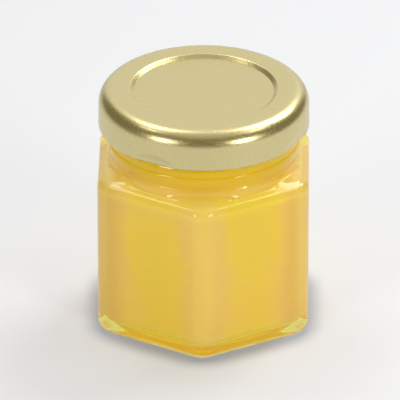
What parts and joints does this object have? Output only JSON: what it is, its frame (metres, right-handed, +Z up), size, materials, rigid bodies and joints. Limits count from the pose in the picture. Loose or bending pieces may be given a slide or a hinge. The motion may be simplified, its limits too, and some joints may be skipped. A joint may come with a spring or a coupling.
{
  "type": "honey jar",
  "caption": "Small six-sided glass jar of creamed honey with a gold-coloured twist-off metal lid.",
  "frame": {"origin": "centre of the footprint, on the surface the jar stands on", "axes": "+Z up; two flat sides face +X and -X, and one upright corner faces -Y"},
  "size_m": [0.046, 0.052, 0.0542],
  "materials": {
    "clear_glass": "clear, smooth, with a faint green tint at its edges",
    "creamed_honey": "opaque creamed honey, smooth",
    "gold_lacquered_tinplate": "satin gold lacquer with a fine straight grain"
  },
  "bodies": {
    "root": {"glass_jar": "clear_glass", "honey": "creamed_honey", "lid": "gold_lacquered_tinplate"}
  },
  "joints": []
}
